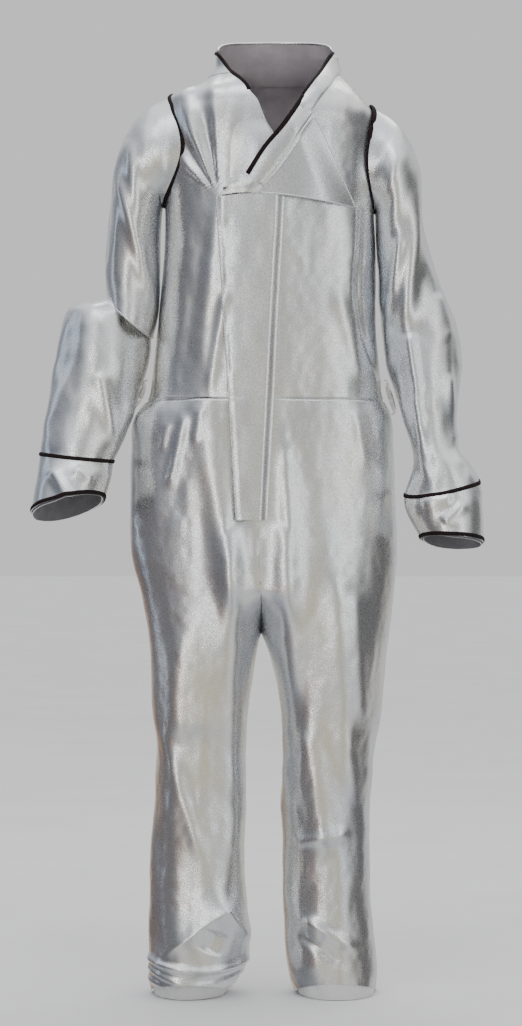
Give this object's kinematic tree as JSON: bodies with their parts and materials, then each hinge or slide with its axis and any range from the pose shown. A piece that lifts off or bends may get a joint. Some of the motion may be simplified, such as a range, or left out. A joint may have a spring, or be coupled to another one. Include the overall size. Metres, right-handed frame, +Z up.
{
  "type": "chemical protective coverall",
  "caption": "Metallised one-piece protective coverall with stand collar, throat flap, storm flap over a front zip, taped cuffs and armholes, and faced hems.",
  "frame": {"origin": "between the shoulders, where the suit hangs on the wearer", "axes": "+Z up, -Y out of the front, +X to the wearer's left"},
  "size_m": [0.7747, 0.2798, 1.658],
  "materials": {
    "silver_cloth": "aluminium-coated cloth, satin metallic with a fine weave and soft creases",
    "dark_binding": "very dark maroon binding tape, matte",
    "grey_lining": "grey lining cloth, matte",
    "white_facing": "off-white facing cloth, matte",
    "hook_and_loop": "hook-and-loop pile, matte",
    "zip_tape": "woven zip tape, matte",
    "zip_chain": "moulded grey teeth",
    "zip_metal": "brushed brass"
  },
  "bodies": {
    "suit_body": {"right_front_panel": "silver_cloth", "left_front_panel": "silver_cloth", "back_panel": "silver_cloth", "collar": "silver_cloth", "right_neck_binding": "dark_binding", "left_neck_binding": "dark_binding", "right_trouser_front": "silver_cloth", "left_trouser_front": "silver_cloth", "right_seat_panel": "silver_cloth", "left_seat_panel": "silver_cloth", "crotch_gusset": "silver_cloth", "zip_tape_right": "zip_tape", "zip_tape_left": "zip_tape", "zip_teeth_right": "zip_chain", "zip_teeth_left": "zip_chain", "zip_bottom_stop": "zip_metal", "inner_fly": "white_facing", "storm_loop_strip": "hook_and_loop", "throat_loop_patch": "hook_and_loop", "right_armhole_tape": "dark_binding", "left_armhole_tape": "dark_binding", "right_belt_loop": "silver_cloth", "left_belt_loop": "silver_cloth"},
    "throat_flap": {"throat_flap": "silver_cloth", "lapel_band": "silver_cloth", "lapel_binding": "dark_binding", "throat_hook_patch": "hook_and_loop"},
    "storm_flap": {"storm_flap": "silver_cloth", "storm_hook_strip": "hook_and_loop"},
    "zip_slider": {"zip_slider": "zip_metal"},
    "zip_puller": {"zip_puller": "zip_metal"},
    "right_upper_sleeve": {"right_upper_sleeve": "silver_cloth"},
    "right_lower_sleeve": {"right_lower_sleeve": "silver_cloth", "right_cuff_seam_tape": "dark_binding", "right_cuff": "silver_cloth", "right_cuff_edge_tape": "dark_binding", "right_cuff_lining": "grey_lining"},
    "right_thigh": {"right_thigh_front": "silver_cloth", "right_thigh_back": "silver_cloth"},
    "right_shin": {"right_shin_front": "silver_cloth", "right_shin_back": "silver_cloth", "right_hem_facing": "white_facing"},
    "left_upper_sleeve": {"left_upper_sleeve": "silver_cloth"},
    "left_lower_sleeve": {"left_lower_sleeve": "silver_cloth", "left_cuff_seam_tape": "dark_binding", "left_cuff": "silver_cloth", "left_cuff_edge_tape": "dark_binding", "left_cuff_lining": "grey_lining"},
    "left_thigh": {"left_thigh_front": "silver_cloth", "left_thigh_back": "silver_cloth"},
    "left_shin": {"left_shin_front": "silver_cloth", "left_shin_back": "silver_cloth", "left_hem_facing": "white_facing"}
  },
  "joints": [
    {"name": "throat_flap_hinge", "type": "hinge", "parent": "suit_body", "child": "throat_flap", "pos_m": [0.062, -0.121, 0.002], "axis": [-0.4219, -0.0336, 0.906], "range_deg": [0, 120]},
    {"name": "storm_flap_hinge", "type": "hinge", "parent": "suit_body", "child": "storm_flap", "pos_m": [0.03, -0.12884, -0.192], "axis": [0.0521, 0.0003, 0.9986], "range_deg": [0, 150]},
    {"name": "zip_slide", "type": "slide", "parent": "suit_body", "child": "zip_slider", "axis": [0, 0, -1], "range_m": [0, 0.56]},
    {"name": "zip_puller_swing", "type": "hinge", "parent": "zip_slider", "child": "zip_puller", "pos_m": [-0.015, -0.1206, -0.1198], "axis": [0, 1, 0], "range_deg": [-20, 20]},
    {"name": "right_shoulder", "type": "hinge", "parent": "suit_body", "child": "right_upper_sleeve", "pos_m": [-0.178, 0, -0.082], "axis": [0, 1, 0], "range_deg": [0, 40]},
    {"name": "right_elbow", "type": "hinge", "parent": "right_upper_sleeve", "child": "right_lower_sleeve", "pos_m": [-0.254, 0, -0.372], "axis": [-1, 0, 0], "range_deg": [0, 50]},
    {"name": "left_shoulder", "type": "hinge", "parent": "suit_body", "child": "left_upper_sleeve", "pos_m": [0.178, 0, -0.082], "axis": [0, -1, 0], "range_deg": [0, 40]},
    {"name": "left_elbow", "type": "hinge", "parent": "left_upper_sleeve", "child": "left_lower_sleeve", "pos_m": [0.262, 0, -0.398], "axis": [-1, 0, 0], "range_deg": [0, 50]},
    {"name": "right_hip", "type": "hinge", "parent": "suit_body", "child": "right_thigh", "pos_m": [-0.113, 0, -0.83], "axis": [-1, 0, 0], "range_deg": [0, 40]},
    {"name": "right_knee", "type": "hinge", "parent": "right_thigh", "child": "right_shin", "pos_m": [-0.115, 0, -1.15], "axis": [1, 0, 0], "range_deg": [0, 60]},
    {"name": "left_hip", "type": "hinge", "parent": "suit_body", "child": "left_thigh", "pos_m": [0.113, 0, -0.83], "axis": [-1, 0, 0], "range_deg": [0, 40]},
    {"name": "left_knee", "type": "hinge", "parent": "left_thigh", "child": "left_shin", "pos_m": [0.115, 0, -1.15], "axis": [1, 0, 0], "range_deg": [0, 60]}
  ]
}
